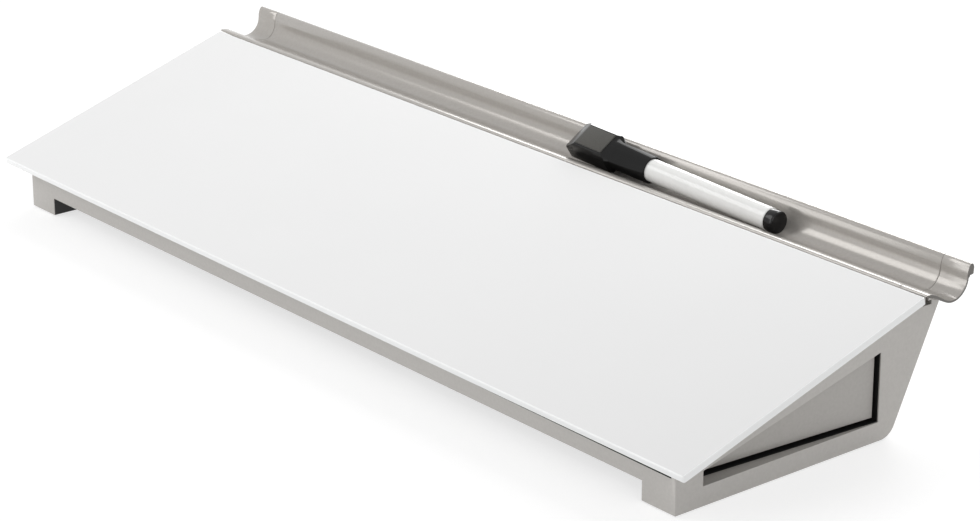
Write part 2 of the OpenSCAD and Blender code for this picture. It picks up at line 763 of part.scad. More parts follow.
module marker_end_plug() {
    spigot = 7;
    color("#242424") in_tray() difference() {
        turned([[marker_l - plug_l - spigot, barrel_in_r - push_gap - 0.4],
                [marker_l - plug_l - spigot + 0.8, barrel_in_r - push_gap],
                [marker_l - plug_l + eps, barrel_in_r - push_gap],
                [marker_l - plug_l + eps, plug_r],
                [marker_l - 0.6, plug_r], [marker_l - 0.2, plug_r - 0.25],
                [marker_l, plug_r - 0.8]]);
        tube(marker_l - plug_l - spigot - 1, marker_l - plug_l - 1, barrel_in_r - 1.4);
    }
}

module ink_reservoir() {
    color("#D8D4C4") in_tray()
        tube(barrel_start + 7, marker_l - plug_l - 9, barrel_in_r - 0.2);
}

module nib_holder() {
    inside = barrel_in_r - push_gap;
    color("#EDEDEA") in_tray() difference() {
        turned([[holder_start, nib_r + 0.8], [holder_start + 5, barrel_in_r - 1.2],
                [barrel_start - eps, barrel_in_r - 0.6], [barrel_start, inside],
                [barrel_start + 5, inside]]);
        tube(holder_start - 1, barrel_start + 6, nib_r + push_gap);
    }
}

module marker_nib() {
    color("#202022") in_tray() turned([[nib_start, 0.5], [nib_start + 0.6, 1],
        [nib_start + 1.6, nib_r], [barrel_start + 6.6, nib_r]]);
}

// The eraser block: bevelled along its edges, with a slope at each end of the pad face
module eraser_block() {
    w = block_w / 2;
    b = block_bevel;
    c = block_corner;
    drop = 0.6 * block_top;
    intersection() {
        along_x(0, block_l) polygon([[w, block_top - b], [w - b, block_top],
            [b - w, block_top], [-w, block_top - 2.6 * b], [-w, b - block_low],
            [b - w, -block_low], [w - b, -block_low], [w, b - block_low]]);
        translate([0, w, 0]) rotate([90, 0, 0]) linear_extrude(2 * w)
            polygon([[0, -block_low], [0, block_top - drop], [block_slope, block_top],
                [block_l - block_slope_2, block_top], [block_l, block_top - drop],
                [block_l, -block_low]]);
        translate([0, 0, -beyond / 2]) linear_extrude(beyond)
            polygon([[0, c - w], [c, -w], [block_l - c, -w], [block_l, c - w],
                     [block_l, w - c], [block_l - c, w], [c, w], [0, w - c]]);
    }
}

module marker_cap() {
    color("#2A2A2A") in_tray() difference() {
        union() {
            eraser_block();
            turned([[sleeve_start, cap_r - 1.6], [sleeve_start + 1.6, cap_r],
                    [sleeve_end - 0.4, cap_r], [sleeve_end, cap_r - 0.4]]);
        }
        tube(barrel_start - 1, sleeve_end + 1, barrel_r + 0.08);
        tube(cap_bore_end, sleeve_end, barrel_in_r + 0.1);
        translate([pad_x, -pad_w / 2 - fit_gap, block_top - pad_sink])
            cube([pad_l, pad_w + 2 * fit_gap, 9]);
        translate([0, 0, -magnet_drop]) tube(-1, magnet_t, magnet_r + push_gap);
    }
}

module eraser_pad() {
    color("#504F4C") in_tray()
        translate([pad_x + fit_gap, -pad_w / 2, block_top - pad_sink])
            cube([pad_l - 2 * fit_gap, pad_w, pad_t]);
}

module cap_magnet() {
    color("#8C8D8F") in_tray() translate([0, 0, -magnet_drop]) tube(0, magnet_t, magnet_r);
}

glass_panel();
steel_backing_sheet();
mounting_tape();
base_housing();
bottom_cover();
cover_screws();
runner_sole(-1);  // runner_sole_left
runner_sole(1);  // runner_sole_right
rubber_feet();
pen_tray();
tray_end(-1);  // tray_end_left
tray_end(1);  // tray_end_right
tray_lock_screws();
front_guide_rail();
rear_guide_rail();
rail_screws();
drawer_stop();
drawer_tub();
drawer_front();
drawer_front_screws();
marker_barrel();
marker_end_plug();
ink_reservoir();
nib_holder();
marker_nib();
marker_cap();
eraser_pad();
cap_magnet();
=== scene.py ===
# %% [markdown]
# # A magnetic desk whiteboard easel, dressed in Blender
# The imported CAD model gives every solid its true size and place. This script keeps that
# model as the frame, gives each node the finish of the real piece, and rebuilds the few
# pieces whose finer shape the photograph shows. Lengths are metres, +X runs along the
# board to the drawer's side, +Y to the back and +Z up.

# %% The frame and its box
import json
import math

import bmesh
import bpy
import numpy as np
from mathutils import Euler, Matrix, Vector


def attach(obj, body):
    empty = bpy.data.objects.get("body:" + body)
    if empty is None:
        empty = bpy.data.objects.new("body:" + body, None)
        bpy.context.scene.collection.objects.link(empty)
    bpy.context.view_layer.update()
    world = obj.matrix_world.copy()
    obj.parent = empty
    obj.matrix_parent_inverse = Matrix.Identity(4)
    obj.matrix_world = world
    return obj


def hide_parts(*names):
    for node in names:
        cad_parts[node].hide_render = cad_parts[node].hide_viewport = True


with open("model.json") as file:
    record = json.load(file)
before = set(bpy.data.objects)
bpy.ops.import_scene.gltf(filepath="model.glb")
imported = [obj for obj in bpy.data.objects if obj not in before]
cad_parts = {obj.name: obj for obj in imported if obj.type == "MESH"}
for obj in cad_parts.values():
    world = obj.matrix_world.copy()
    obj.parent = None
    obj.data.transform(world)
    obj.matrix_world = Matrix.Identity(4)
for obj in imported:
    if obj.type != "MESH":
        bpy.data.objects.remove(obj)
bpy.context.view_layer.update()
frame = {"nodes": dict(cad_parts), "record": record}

nodes = frame["nodes"]
MM = 0.001

# %% [markdown]
# ## Colours and shader nodes
# A colour is written as the sRGB hex value that the eye sees, and one function turns it
# to the linear value that the renderer works with. One more function adds a shader node
# and fills its sockets: a socket of another node makes a link, anything else is a value.


# %% Two small helpers
def linear(hex_colour):
    """sRGB to linear: v / 12.92 below 0.04045, else ((v + 0.055) / 1.055) ^ 2.4."""
    v = np.array([int(hex_colour[i : i + 2], 16) / 255 for i in (1, 3, 5)])
    v = np.where(v <= 0.04045, v / 12.92, ((v + 0.055) / 1.055) ** 2.4)
    return (float(v[0]), float(v[1]), float(v[2]), 1.0)


def add(tree, kind, sockets=None, **settings):
    """Adds a node, sets its settings, and fills or links its input sockets."""
    n = tree.nodes.new(kind)
    for name, value in settings.items():
        setattr(n, name, value)
    for name, value in (sockets or {}).items():
        if isinstance(value, bpy.types.NodeSocket):
            tree.links.new(value, n.inputs[name])
        else:
            n.inputs[name].default_value = value
    return n


print("mid grey", [round(c, 3) for c in linear("#BCBCBC")[:3]])

# %% [markdown]
# ## How a finish starts
# No moulded or painted surface has exactly one colour or is exactly flat. So every finish
# is a Principled shader whose colour a noise moves a little, between two hex values, and
# most of them have a shallow bump as well. Both read Object coordinates, so their sizes
# are real millimetres. Where the real grain is too fine for the render, it is drawn
# coarser, and the cell that does so says it.

# %% A new material, its colour and its bump
NOISE_SPAN = (0.3, 0.7)  # nearly all values of the noise lie between these two


def start(name, **constants):
    """An empty material with a Principled shader, and its Object coordinates."""
    m = bpy.data.materials.new(name)
    m.use_nodes = True
    t = m.node_tree
    t.nodes.clear()
    shader = add(t, "ShaderNodeBsdfPrincipled", constants)
    add(t, "ShaderNodeOutputMaterial", {"Surface": shader.outputs["BSDF"]})
    place = add(t, "ShaderNodeTexCoord").outputs["Object"]
    return m, t, shader, place


def two_tones(t, place, size, dark, light):
    """A colour that noise of one size, in mm, moves between two hex values."""
    noise = add(t, "ShaderNodeTexNoise", {"Vector": place, "Scale": 1 / (size * MM), "Detail": 2.0})
    ramp = add(t, "ShaderNodeValToRGB", {"Fac": noise.outputs["Fac"]})
    for stop, at, colour in zip(ramp.color_ramp.elements, NOISE_SPAN, (dark, light)):
        stop.position = at
        stop.color = linear(colour)
    return ramp.outputs["Color"], noise.outputs["Fac"]


def roughen(t, shader, height, depth):
    """Bump of the surface by a height field, with its full depth in mm."""
    bump = add(t, "ShaderNodeBump", {"Height": height, "Distance": depth * MM, "Strength": 1.0})
    t.links.new(bump.outputs["Normal"], shader.inputs["Normal"])


print("noise from", NOISE_SPAN[0], "to", NOISE_SPAN[1], "gives the two tones")

# %% [markdown]
# ## How a new piece is made
# A piece that is rebuilt starts as a grid of points, worked out as whole arrays. It uses
# the sizes of the CAD model: y is measured from the glass's front top edge and z from the
# underside of the runners, in millimetres, and one function moves such points to the
# model's own origin. Each piece rides on its body and stands in place of its CAD node,
# which is hidden.

# %% Sizes shared with the CAD model, in millimetres
TOTAL_D, FOOT_PROUD = 148.984, 0.6
BOARD_W, BOARD_D, BOARD_T, BOARD_H = 458.0, 128.0, 3.0, 21.7
TILT = math.radians(17)
BASE_HALF, FRONT_Y, HEEL_Y, REAR_RUN = 217.7, 7.4, 118.884, 0.47912
print("the model's depth is", TOTAL_D, "mm")


# %% From the CAD model's datum to Object coordinates
def at_y(y):
    """A depth from the glass's front edge, in mm, in metres from the model's middle."""
    return (y - TOTAL_D / 2) * MM


def at_z(z):
    """A height above the runners, in mm, in metres above the desk: the feet are added."""
    return (z + FOOT_PROUD) * MM


def placed(points):
    """The same for points: y less half the depth, z plus the feet, and mm to metres."""
    return (np.asarray(points, float) + [0, -TOTAL_D / 2, FOOT_PROUD]) * MM


print("the runners' underside is at z =", at_z(0), "m")

# %% From points to a piece
MERGE = 1e-7  # points closer than this, in metres, are one


def grid_faces(rows, cols, closed=False):
    """Quads of a rows x cols grid, row by row; closed joins the last column to the first."""
    i, j = np.meshgrid(np.arange(rows - 1), np.arange(cols if closed else cols - 1), indexing="ij")
    k = (j + 1) % cols
    corners = [i * cols + j, i * cols + k, (i + 1) * cols + k, (i + 1) * cols + j]
    return np.stack(corners, -1).reshape(-1, 4)


def dress(piece, node, body):
    """Puts the piece in the scene, on its body, in place of its node, which it hides."""
    bpy.context.scene.collection.objects.link(piece)
    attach(piece, body)
    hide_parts(node)
    return piece


def make_piece(name, points, faces, finishes, pick, node, body, crease):
    """Closed mesh of points and faces, outside out, smooth but for edges above crease."""
    mesh = bpy.data.meshes.new(name)
    mesh.from_pydata(np.asarray(points).tolist(), [], [list(map(int, f)) for f in faces])
    for finish in finishes:
        mesh.materials.append(finish)
    mesh.polygons.foreach_set("material_index", np.asarray(pick, np.int32))
    mesh.polygons.foreach_set("use_smooth", np.ones(len(mesh.polygons), bool))
    shell = bmesh.new()
    shell.from_mesh(mesh)
    bmesh.ops.remove_doubles(shell, verts=shell.verts, dist=MERGE)
    if shell.calc_volume(signed=True) < 0:
        bmesh.ops.reverse_faces(shell, faces=shell.faces)
    shell.to_mesh(mesh)
    shell.free()
    mesh.set_sharp_from_angle(angle=math.radians(crease))
    return dress(bpy.data.objects.new(name, mesh), node, body)


print(len(grid_faces(3, 4)), "quads in a grid of 3 by 4 points")

# %% [markdown]
# ## Silver lacquer over black ABS
# The base and the tray are moulded in black ABS and sprayed with a satin silver-grey
# lacquer from outside. The lacquer holds fine metal flake, so it is partly metallic: it
# is brighter where it mirrors a bright room and darker where it mirrors itself, and its
# thin orange peel, waves of about 2 mm, softens every reflection. The flake itself is
# under 0.05 mm and is drawn as cloudy tones of 1.2 mm, because finer ones wouldn't show.

# %% The lacquer
FLAKE_CLOUDS, PEEL, PEEL_DEPTH = 1.2, 2.0, 0.005  # sizes in mm


def lacquer(name, light, dark, roughness, metallic):
    """Colour = noise(position / FLAKE_CLOUDS) between two hex values; bump = noise(position / PEEL)."""
    m, t, shader, place = start(name, Metallic=metallic, Roughness=roughness)
    colour, _ = two_tones(t, place, FLAKE_CLOUDS, dark, light)
    t.links.new(colour, shader.inputs["Base Color"])
    waves = add(t, "ShaderNodeTexNoise", {"Vector": place, "Scale": 1 / (PEEL * MM), "Detail": 1.0})
    roughen(t, shader, waves.outputs["Fac"], PEEL_DEPTH)
    return m, t, shader, place, colour


tray_plastic = lacquer("silver_lacquered_tray", "#B5B1AC", "#B0ACA7", 0.2, 0.22)[0]
drawer_plastic = lacquer("silver_lacquered_drawer_front", "#B3B0AC", "#AEABA7", 0.42, 0.3)[0]
cut_lacquer = lacquer("silver_lacquer_on_a_cut_edge", "#787571", "#706D69", 0.5, 0.2)[0]
print(tray_plastic.name, drawer_plastic.name, cut_lacquer.name)

# %% [markdown]
# ## Painted shade inside the base
# The inside of the base, the recess beside the drawer front and the shadow gap under the
# glass get a near-black colour: painted shade for the little light that reaches them,
# drawn as bare black plastic. Its limits are worked out from Object coordinates, because
# they follow the place and not the shape: a point is painted dark where it lies behind
# every one of a few planes, just under the outer faces of the base. Each plane is a
# comparison that gives 1 or 0, and their product is 1 only where all of them are.


# %% Tests on Object coordinates
def above(t, value, limit):
    """1 where value is more than limit, else 0; either may be a socket or a number."""
    return add(t, "ShaderNodeMath", {0: value, 1: limit}, operation="GREATER_THAN").outputs[0]


def sloped(t, value, factor, offset):
    """value * factor + offset."""
    return add(t, "ShaderNodeMath", {0: value, 1: factor, 2: offset}, operation="MULTIPLY_ADD").outputs[0]


def all_of(t, tests):
    """The product of tests that are 1 or 0."""
    result = tests[0]
    for test in tests[1:]:
        result = add(t, "ShaderNodeMath", {0: result, 1: test}, operation="MULTIPLY").outputs[0]
    return result


base_metal = 0.3
base_finish = lacquer("silver_lacquered_base", "#C0BDB9", "#BBB8B4", 0.42, base_metal)
base_plastic, t, shader, place, colour = base_finish
xyz = add(t, "ShaderNodeSeparateXYZ", {"Vector": place})
x, y, z = xyz.outputs["X"], xyz.outputs["Y"], xyz.outputs["Z"]
half_x = add(t, "ShaderNodeMath", {0: x}, operation="ABSOLUTE").outputs[0]
print(base_plastic.name, "is", base_metal, "metallic")

# %% The inside of the base, in millimetres
WRAP, REAR_WRAP = 0.3, 0.4  # how far the lacquer reaches round an edge
PANEL_Y, PANEL_LEAN = 21.5, 0.0697  # the drawer front's front end, and its lean outward per mm of y
RECESS, SHADE_STOP = 8.0, 1.1  # the recess's depth there, and how far outside the panel the painted shade starts
DECK_LOW = 6.7  # the deck's underside, below the glass's face and square to it
SEAT_Z = 49.6  # the painted shade stops just under the seat of the tray
panel_x = (BASE_HALF - RECESS + SHADE_STOP) * MM - PANEL_LEAN * at_y(PANEL_Y)
rear_y = at_y(HEEL_Y - REAR_WRAP) - REAR_RUN * at_z(0)
deck_z = at_z(BOARD_H - DECK_LOW / math.cos(TILT) + WRAP) - math.tan(TILT) * at_y(0)
# 1 where a point lies behind all these planes: there the base is painted near-black, as painted shade
inside = all_of(t, [
    above(t, sloped(t, y, PANEL_LEAN, panel_x), x),
    above(t, (BASE_HALF - WRAP) * MM, half_x),
    above(t, y, at_y(FRONT_Y + WRAP)),
    above(t, sloped(t, z, REAR_RUN, rear_y), y),
    above(t, sloped(t, y, math.tan(TILT), deck_z), z),
    above(t, at_z(SEAT_Z), z),
])
print("raw plastic below z =", SEAT_Z, "mm, inside the walls")

# %% The shadow gap in the apron, in millimetres
GAP_LOW, GAP_FACE, GAP_BACK = 12.0, 0.04, 2.0  # lowest point, and its reach behind the apron's face
GAP_END = 2.1  # the gap stops this far from the base's sides
SHADE_GRAIN = 0.5  # grain of the painted shade's near-black, drawn coarse as on the mouldings below
# the shadow gap's faces behind the apron are painted near-black too: painted shade
gap = all_of(t, [
    above(t, z, at_z(GAP_LOW)),
    above(t, y, at_y(FRONT_Y + GAP_FACE)),
    above(t, (BASE_HALF - GAP_END) * MM, half_x),
    above(t, at_y(FRONT_Y + GAP_BACK), y),
])
painted_shade = add(t, "ShaderNodeMath", {0: inside, 1: gap}, operation="MAXIMUM").outputs[0]
black, _ = two_tones(t, place, SHADE_GRAIN, "#161616", "#1C1C1B")
# the lacquer where light reaches, the painted shade's near-black where it doesn't
both = add(t, "ShaderNodeMix", {0: painted_shade, 6: colour, 7: black}, data_type="RGBA")
t.links.new(both.outputs[2], shader.inputs["Base Color"])
t.links.new(sloped(t, painted_shade, -base_metal, base_metal), shader.inputs["Metallic"])
print(base_plastic.name, "with", len(t.nodes), "shader nodes")

# %% [markdown]
# ## Back-painted glass
# The board is clear float glass, 3 mm thick, with ground and polished edges and white
# paint on its back. A clear slab over a white sheet would trace every path twice and turn
# grainy, so the face is given the paint's white under the gloss of glass, IOR 1.52. Light
# that enters the face leaves through the edges; this is painted on as a faint white
# emission on the edges and arrises, a painted glow.


# %% Glass face, glass edge and the small round between them
def painted_glass(name, roughness, dark, light, clouds, glow):
    """Colour = noise(position / clouds in mm) between two hex values; glow is white emission, a painted
    glow.
    """
    m, t, shader, place = start(name, Roughness=roughness, IOR=1.52)
    tone, _ = two_tones(t, place, clouds, dark, light)
    t.links.new(tone, shader.inputs["Base Color"])
    shader.inputs["Emission Color"].default_value = linear("#FFFFFF")
    shader.inputs["Emission Strength"].default_value = glow
    return m


white_glass = painted_glass("white_back_painted_glass", 0.06, "#F3F3F3", "#F4F4F4", 60, 0.0)
# the edge's and the arris's emission is a painted glow for the light carried through the glass
edge_glass = painted_glass("polished_glass_edge", 0.05, "#EFF0F0", "#F1F2F2", 20, 0.1)
arris_glass = painted_glass("ground_glass_arris", 0.2, "#F6F7F7", "#F8F9F9", 20, 0.08)
print(white_glass.name, edge_glass.name, arris_glass.name)

# %% [markdown]
# ## Gloss and matt mouldings
# The marker's barrel, cap and plug are polypropylene from a polished mould, so they
# shine, with only the faint sink waves of a thin wall, about 3 mm long. The bottom cover,
# the drawer's tub and the rails come from an eroded mould and are matt. The real grain is
# about 0.05 mm and is drawn as 0.4 to 1.5 mm, so that it shows close by.


# %% The plain mouldings
def moulding(name, light, dark, roughness, grain, depth, specular=0.5):
    """Colour = noise(position / grain) between two hex values; bump of the same noise."""
    m, t, shader, place = start(name, Roughness=roughness)
    shader.inputs["Specular IOR Level"].default_value = specular
    colour, speck = two_tones(t, place, grain, dark, light)
    t.links.new(colour, shader.inputs["Base Color"])
    roughen(t, shader, speck, depth)
    return m


barrel_plastic = moulding("gloss_white_polypropylene", "#F4F4F2", "#EFEFED", 0.12, 3.0, 0.002)
black_plastic = moulding("gloss_black_polypropylene", "#101010", "#0C0C0C", 0.15, 3.0, 0.003, 0.28)
liner_plastic = moulding("white_polypropylene", "#EDEDEA", "#E6E6E2", 0.3, 1.5, 0.003)
cover_plastic = moulding("eroded_black_abs", "#2A2A2A", "#222222", 0.55, 0.5, 0.02, 0.3)
rail_plastic = moulding("natural_acetal", "#E8E6E0", "#E0DED8", 0.35, 1.0, 0.004)
foot_rubber = moulding("moulded_nitrile_rubber", "#2C2C2D", "#242425", 0.8, 0.4, 0.03, 0.3)
print("six mouldings")

# %% [markdown]
# ## Metals, foam, felt and fibre
# Steel sheet and screws are zinc plated and the cap's magnet is nickel plated: plating is
# a thin even coat, so the metal keeps its colour and only its gloss varies, in streaks
# along the way it was rolled or turned. Felt, foam and ink fibre are matt through and
# through, and their loose surface catches light at its rim, which the shader calls sheen.
# Single fibres, 0.02 mm thick, are drawn 0.2 to 0.4 mm wide.

# %% Plating and loose surfaces
STREAK = (1.0, 0.1, 1.0)  # the noise is drawn out ten times along Y
SPREAD = 0.3  # share by which the roughness goes up and down
FIBRE_ROUGH, FIBRE_SPECULAR, FIBRE_SHEEN = 0.95, 0.2, 0.15


def plated(name, colour, roughness, streak):
    """Roughness = its value times 1 - SPREAD to 1 + SPREAD, by noise drawn out along one way."""
    m, t, shader, place = start(name, Metallic=1.0)
    shader.inputs["Base Color"].default_value = linear(colour)
    stretch = add(t, "ShaderNodeMapping", {"Vector": place, "Scale": STREAK}).outputs["Vector"]
    grain = add(t, "ShaderNodeTexNoise", {"Vector": stretch, "Scale": 1 / (streak * MM), "Detail": 2.0})
    limits = {"To Min": roughness * (1 - SPREAD), "To Max": roughness * (1 + SPREAD)}
    rough = add(t, "ShaderNodeMapRange", {"Value": grain.outputs["Fac"], **limits})
    t.links.new(rough.outputs["Result"], shader.inputs["Roughness"])
    return m


def fibre(name, light, dark, size, depth):
    """Colour and bump = noise(position / size), for a surface made of short fibres or cells."""
    m = moulding(name, light, dark, FIBRE_ROUGH, size, depth, FIBRE_SPECULAR)
    m.node_tree.nodes["Principled BSDF"].inputs["Sheen Weight"].default_value = FIBRE_SHEEN
    return m


sheet_steel = plated("zinc_plated_steel_sheet", "#C9CCCE", 0.35, 0.5)
screw_steel = plated("zinc_plated_screw_steel", "#B9BABC", 0.3, 0.2)
magnet_metal = plated("nickel_plated_ferrite", "#A9A8A4", 0.25, 0.2)
foam_tape = fibre("closed_cell_foam_tape", "#E4E2DC", "#D8D6D0", 0.4, 0.05)
pad_felt = fibre("grey_wool_felt", "#5E5D59", "#52514E", 0.25, 0.06)
ink_fibre = fibre("polyester_ink_fibre", "#5C5750", "#4A4640", 0.3, 0.05)
nib_fibre = fibre("bonded_nib_fibre", "#202022", "#161618", 0.2, 0.04)
print("three metals, one foam, three fibres")

# %% Every node gets the finish of its slot
finish_of = dict(board_glass=white_glass, sheet_steel=sheet_steel, foam_tape=foam_tape,
                 base_plastic=base_plastic, tray_plastic=tray_plastic, cover_plastic=cover_plastic,
                 foot_rubber=foot_rubber, screw_steel=screw_steel, rail_plastic=rail_plastic,
                 barrel_plastic=barrel_plastic, black_plastic=black_plastic,
                 liner_plastic=liner_plastic, ink_fibre=ink_fibre, nib_fibre=nib_fibre,
                 pad_felt=pad_felt, magnet_metal=magnet_metal)
slot_of = {part["node"]: part["material_slot"] for part in frame["record"]["subparts"]}
for name, slot in slot_of.items():
    nodes[name].data.materials.clear()
    nodes[name].data.materials.append(finish_of[slot])
print(slot_of)

# %% [markdown]
# ## The glass board
# A glass pane is cut, its corners are rounded and its arrises are ground to a small
# round. So the pane is one loop, a rectangle with rounded corners, that is carried in
# steps from the face over the edge to the back. The CAD solid has flat arrises; rounded
# ones give the thin bright lines that the photograph shows along the edges. The pane is
# tilted a quarter of a degree more than the solid, which lifts its rear edge by 0.5 mm
# and hides the dark foot of the tray's lip behind it, as in the photograph.

# %% A pane from one loop
PANE_TILT = math.radians(17.25)
CORNER_R, CORNER_STEPS, LEAST_R = 1.0, 8, 0.02  # the corners' radius in mm, never quite 0


def pane_loop(inset):
    """The outline moved in by inset: corner centres plus the rest of the radius times (cos, sin)."""
    hold = max(CORNER_R, inset + LEAST_R)
    reach = max(CORNER_R - inset, LEAST_R)
    turn = np.arange(4)[:, None] * np.pi / 2 + np.linspace(0, np.pi / 2, CORNER_STEPS)
    sx, sy = np.array([1, -1, -1, 1])[:, None], np.array([1, 1, -1, -1])[:, None]
    u = sx * (BOARD_W / 2 - hold) + reach * np.cos(turn)
    v = sy * (BOARD_D / 2 - hold) + reach * np.sin(turn)
    return u.ravel(), v.ravel() + BOARD_D / 2


def pane_points(insets, depths):
    """Loops at each inset and depth; the slope turns (v, -depth) by the pane's tilt."""
    cos, sin = math.cos(PANE_TILT), math.sin(PANE_TILT)
    rows = []
    for inset, depth in zip(insets, depths):
        u, v = pane_loop(inset)
        rows.append(np.stack([u, v * cos + depth * sin, BOARD_H + v * sin - depth * cos], -1))
    return np.array(rows)


print("one loop has", len(pane_loop(0)[0]), "points")

# %% The pane, from its face over the edge to its back
ARRIS, RIM, FLAT = 0.45, 0.1, 4.0  # the arris's radius, a narrow ring beside it and a wide one, mm
BACK_GAP = 0.03  # keeps the back clear of the steel sheet
back = BOARD_T - BACK_GAP
quarter = np.linspace(0, np.pi / 2, 5)
edge_in = np.concatenate([[FLAT, ARRIS + RIM], ARRIS * (1 - np.sin(quarter)),
                          ARRIS * (1 - np.cos(quarter)), [ARRIS + RIM, FLAT]])
edge_down = np.concatenate([[0, 0], ARRIS * (1 - np.cos(quarter)),
                            back - ARRIS * (1 - np.sin(quarter)), [back, back]])
rows = pane_points(edge_in, edge_down)
count = rows.shape[1]
faces = [list(f) for f in grid_faces(len(rows), count, closed=True)]
faces += [list(range(count))[::-1], list(range((len(rows) - 1) * count, len(rows) * count))]
on_face, on_edge, on_arris = 0, 1, 2  # the order of the finishes below
bands = [on_face] + [on_arris] * len(quarter) + [on_edge] * (len(quarter) + 1) + [on_face]
pick = np.concatenate([np.repeat(bands, count), [on_face, on_face]])
make_piece("glass_pane", placed(rows.reshape(-1, 3)), faces, [white_glass, edge_glass, arris_glass],
           pick, "glass_panel", "easel", crease=30)
print("pane of", len(faces), "faces, arris", ARRIS, "mm")

# %% [markdown]
# ## The pen tray
# The tray is a long J-shaped moulding: a round lip against the glass, a slope, a trough,
# a leaning wall and a thick round bead at the back. Its section is two paths, the inner
# and the outer skin, with as many points each, so the wall between them closes every cut
# end. The section is carried along X in a few steps. The bands of light along a real tray
# come from these smooth curves, so the curves get many points.

# %% The tray's sizes, as in the CAD model
LIP, CREST, TROUGH = np.array([123.856, 60.2236]), np.array([145.356, 67.4236]), np.array([137.389, 62.4083])
TRAY_R, TRAY_T, BEAD_R, BEAD_H = 7.5, 1.7, 1.9, 4.3
SLOPE, LEAN = 24, 5  # degrees, of the slope to the level and of the rear wall to the upright
FRONT_N = np.array([math.sin(math.radians(SLOPE)), math.cos(math.radians(SLOPE))])
BACK_N = np.array([-math.cos(math.radians(LEAN)), math.sin(math.radians(LEAN))])
BACK_UP = np.array([math.sin(math.radians(LEAN)), math.cos(math.radians(LEAN))])
slope_dir = np.array([FRONT_N[1], -FRONT_N[0]])
lip_mid = LIP - FRONT_N * TRAY_T / 2
bead_mid = CREST - (BACK_N + BACK_UP) * BEAD_R
bead_low = bead_mid - BACK_UP * (BEAD_H - BEAD_R)
print("the tray is", TRAY_T, "mm thick, its trough's radius is", TRAY_R, "mm")

# %% The curves of its section
LIP_STEPS, SLOPE_STEPS, TROUGH_STEPS = 8, 16, 40  # both skins get as many points in each stretch
WALL_STEPS, ROLL_STEPS = 7, 19


def arc(centre, radius, start_deg, end_deg, steps):
    """centre + radius * (cos, sin) from one angle to another."""
    a = np.radians(np.linspace(start_deg, end_deg, steps))[:, None]
    return centre + radius * np.hstack([np.cos(a), np.sin(a)])


def straight(a, b, steps):
    """Points from a to b, without a itself."""
    return a + (b - a) * np.linspace(0, 1, steps + 1)[1:, None]


def bezier(a, b, c, d, steps):
    """(1-t)^3 a + 3 (1-t)^2 t b + 3 (1-t) t^2 c + t^3 d, without a itself."""
    t = np.linspace(0, 1, steps + 1)[1:, None]
    return (1 - t) ** 3 * a + 3 * (1 - t) ** 2 * t * b + 3 * (1 - t) * t**2 * c + t**3 * d


print("a quarter turn in 3 points:", arc(np.zeros(2), 1.0, 0, 90, 3).round(2).tolist())

# %% [markdown]
# ### The softer inner skin
# In the photograph the lip is a broad round that runs into the slope, and the bead's
# inner side is rolled. So the inner skin leaves the CAD section here, by 0.7 mm at most:
# a Bezier curve joins the lip's top to the slope, and a quarter of an ellipse rolls the
# bead's inner side over to its top.

# %% The inner skin
LIP_PULL, SLOPE_PULL = 4.0, 3.5  # how far each end's direction pulls the curve, mm
ROLL_H = 4.1  # height of the rolled side, mm
lip_top, slope_end = lip_mid + [0, TRAY_T / 2], TROUGH - FRONT_N * TRAY_R
roll_mid = bead_mid - BACK_UP * (ROLL_H - BEAD_R)
phi = np.linspace(0, np.pi / 2, ROLL_STEPS + 1)[1:, None]
inner = np.concatenate([
    arc(lip_mid, TRAY_T / 2, 180 - SLOPE, 90, LIP_STEPS),
    bezier(lip_top, lip_top + [LIP_PULL, 0], slope_end - slope_dir * SLOPE_PULL, slope_end, SLOPE_STEPS),
    arc(TROUGH, TRAY_R, -90 - SLOPE, -LEAN, TROUGH_STEPS)[1:],
    straight(TROUGH - BACK_N * TRAY_R, roll_mid + BACK_N * BEAD_R, WALL_STEPS),
    roll_mid + BACK_N * BEAD_R * np.cos(phi) + BACK_UP * ROLL_H * np.sin(phi),
])
print("inner skin of", len(inner), "points")

# %% The outer skin
CHAMFER = 0.3  # at the bead's lower corner, mm
outer_r = TRAY_R + TRAY_T
under_bead = bead_low + BACK_N * (BEAD_R - TRAY_T)
corner_in = bead_low - BACK_N * (BEAD_R - CHAMFER)
corner_up = bead_low - BACK_N * BEAD_R + BACK_UP * CHAMFER
outer = np.concatenate([
    arc(lip_mid, TRAY_T / 2, 180 - SLOPE, 270 - SLOPE, LIP_STEPS),
    straight(LIP - FRONT_N * TRAY_T, TROUGH - FRONT_N * outer_r, SLOPE_STEPS),
    arc(TROUGH, outer_r, -90 - SLOPE, -LEAN, TROUGH_STEPS)[1:],
    straight(TROUGH - BACK_N * outer_r, under_bead, 2),
    straight(under_bead, corner_in, 2),
    straight(corner_in, corner_up, 1),
    straight(corner_up, bead_mid - BACK_N * BEAD_R, WALL_STEPS - 5),
    arc(bead_mid, BEAD_R, -LEAN, 90 - LEAN, ROLL_STEPS + 1)[1:],
])
print("outer skin of", len(outer), "points")

# %% Carry the section along X
BEAD_SHARE = 0.25  # the leaning wall and the bead thin by this share of what the rest does
LEAST_WALL = 1e-6  # the two skins meet at both ends of the section, and this is never 0


